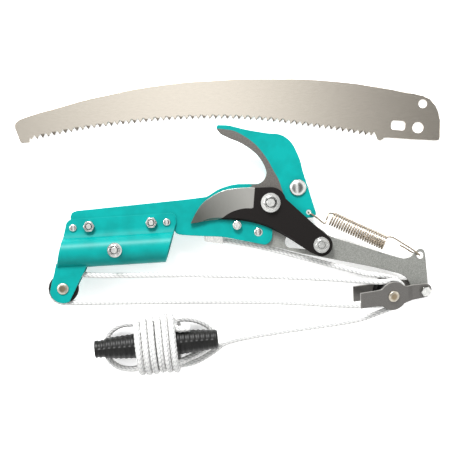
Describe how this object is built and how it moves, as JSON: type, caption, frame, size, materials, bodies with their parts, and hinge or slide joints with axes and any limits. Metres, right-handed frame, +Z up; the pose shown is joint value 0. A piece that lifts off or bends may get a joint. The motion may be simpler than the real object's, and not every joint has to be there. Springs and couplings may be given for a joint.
{
  "type": "rope-operated tree pruner head",
  "caption": "Rope-operated tree pruner head for a pole, with hook, bypass blade, cam lever, spring, pulley block, rope, pull handle and a loose curved saw blade.",
  "frame": {"origin": "centre of the whole kit's bounding box, on the surface it lies on", "axes": "+X along the pole socket from its mouth towards the lever, which is also the saw blade's way; +Z up, square to the hook plate"},
  "size_m": [0.3888, 0.2647, 0.0404],
  "materials": {
    "teal_powder_coat": "satin powder coat",
    "black_coating": "black non-stick coating, bare ground edge",
    "zinc_plate": "bright zinc plate",
    "axle_steel": "satin",
    "spring_steel": "bright drawn wire",
    "hammertone_paint": "hammertone",
    "cheek_paint": "semi-gloss",
    "black_plastic": "moulded",
    "braided_rope": "braided polypropylene",
    "saw_steel": "satin ground"
  },
  "bodies": {
    "head": {"hook_plate": "teal_powder_coat", "socket_front_shell": "teal_powder_coat", "socket_rear_shell": "teal_powder_coat", "socket_rivet_left": "zinc_plate", "socket_rivet_right": "zinc_plate", "clamp_bolt_left": "zinc_plate", "clamp_bolt_right": "zinc_plate", "clamp_nut_left": "zinc_plate", "clamp_nut_right": "zinc_plate", "centre_bolt": "zinc_plate", "centre_nut": "zinc_plate", "guide_pulley_axle": "axle_steel", "main_pivot_bolt": "zinc_plate", "main_pivot_nut": "zinc_plate", "lever_pivot_rivet": "axle_steel", "stop_pin": "axle_steel", "saw_mount_bolt": "zinc_plate", "saw_mount_washer": "zinc_plate", "saw_mount_wing_nut": "zinc_plate", "rope_anchor": "zinc_plate", "rope_guide_turn": "braided_rope"},
    "guide_wheel": {"guide_pulley": "black_plastic"},
    "blade": {"cutting_blade": "black_coating", "drive_washer": "zinc_plate", "drive_bolt": "zinc_plate", "drive_bush": "zinc_plate", "drive_rear_washer": "zinc_plate", "drive_nut": "zinc_plate"},
    "lever": {"lever_plate": "hammertone_paint"},
    "block": {"block_front_cheek": "cheek_paint", "block_rear_cheek": "cheek_paint", "block_axle": "axle_steel", "block_bolt": "zinc_plate", "block_nut": "zinc_plate", "rope_rear_turn": "braided_rope", "rope_front_turn": "braided_rope"},
    "front_wheel": {"block_front_pulley": "black_plastic"},
    "rear_wheel": {"block_rear_pulley": "black_plastic"},
    "rope_span": {"rope_lower_run": "braided_rope", "rope_upper_run": "braided_rope"},
    "rope_lead": {"rope_lead_run": "braided_rope"},
    "spring": {"return_spring": "spring_steel"},
    "spring_end": {"spring_lever_hook": "spring_steel"},
    "pull_rope": {"rope_pull_run": "braided_rope"},
    "handle": {"pull_handle": "black_plastic", "rope_winding": "braided_rope", "rope_loop_left": "braided_rope", "rope_loop_right": "braided_rope"},
    "saw": {"saw_blade": "saw_steel"}
  },
  "joints": [
    {"name": "lever_swing", "type": "hinge", "parent": "head", "child": "lever", "pos_m": [0.02163, -0.01696, 0.0155], "axis": [0, 0, -1], "range_deg": [0, 91], "stiffness_Nm_per_rad": 1.5, "springref_deg": -17.19, "deforming": ["rope_rear_turn", "rope_front_turn", "rope_guide_turn"]},
    {"name": "blade_swing", "type": "hinge", "parent": "head", "child": "blade", "pos_m": [0.03413, 0.00864, 0.023], "axis": [0, 0, -1], "range_deg": [0, 70]},
    {"name": "block_swivel", "type": "hinge", "parent": "lever", "child": "block", "pos_m": [0.16593, -0.07676, 0.0155], "axis": [0, 0, -1], "range_deg": [-52, 0]},
    {"name": "guide_pulley_spin", "type": "hinge", "parent": "head", "child": "guide_wheel", "pos_m": [-0.15627, -0.05676, 0.019], "axis": [0, 0, 1], "continuous": true},
    {"name": "front_pulley_spin", "type": "hinge", "parent": "block", "child": "front_wheel", "pos_m": [0.13651, -0.07965, 0.0252], "axis": [0.2451, -0.2833, 0.9272], "continuous": true},
    {"name": "rear_pulley_spin", "type": "hinge", "parent": "block", "child": "rear_wheel", "pos_m": [0.1345, -0.07733, 0.01759], "axis": [0.2451, -0.2833, 0.9272], "continuous": true},
    {"name": "rope_span_swing", "type": "hinge", "parent": "head", "child": "rope_span", "pos_m": [-0.15627, -0.05676, 0.019], "axis": [0, 0, -1], "range_deg": [0, 39], "deforming": ["rope_lower_run", "rope_upper_run"]},
    {"name": "rope_lead_swing", "type": "hinge", "parent": "head", "child": "rope_lead", "pos_m": [-0.00937, -0.02256, 0.0112], "axis": [0, 0, -1], "range_deg": [0, 94], "deforming": ["rope_lead_run"]},
    {"name": "spring_swing", "type": "hinge", "parent": "head", "child": "spring", "pos_m": [0.06793, -0.00196, 0.019], "axis": [0, 0, -1], "range_deg": [0, 92], "deforming": ["return_spring"]},
    {"name": "spring_stretch", "type": "slide", "parent": "spring", "child": "spring_end", "axis": [0.9095, -0.4158, 0], "range_m": [0, 0.0695], "deforming": ["spring_lever_hook"]},
    {"name": "pull_rope_swing", "type": "hinge", "parent": "block", "child": "pull_rope", "pos_m": [0.13551, -0.07849, 0.0214], "axis": [0, 0, -1], "range_deg": [-39, 0], "deforming": ["rope_pull_run"]},
    {"name": "handle_pull", "type": "slide", "parent": "pull_rope", "child": "handle", "axis": [-0.992, -0.126, 0], "range_m": [0, 0.361]},
    {"name": "saw_lift", "type": "slide", "parent": "head", "child": "saw", "axis": [0, 0, 1], "range_m": [0, 0.3]}
  ],
  "couplings": [
    {"joint": "blade_swing", "follows": "lever_swing", "ratio": 0.769},
    {"joint": "block_swivel", "follows": "lever_swing", "ratio": -0.571},
    {"joint": "rope_span_swing", "follows": "lever_swing", "ratio": 0.4264},
    {"joint": "rope_lead_swing", "follows": "lever_swing", "ratio": 1.032},
    {"joint": "spring_swing", "follows": "lever_swing", "ratio": 1.0088},
    {"joint": "spring_stretch", "follows": "lever_swing", "m_per_rad": 0.0437},
    {"joint": "pull_rope_swing", "follows": "lever_swing", "ratio": -0.428},
    {"joint": "handle_pull", "follows": "lever_swing", "m_per_rad": 0.2268}
  ]
}
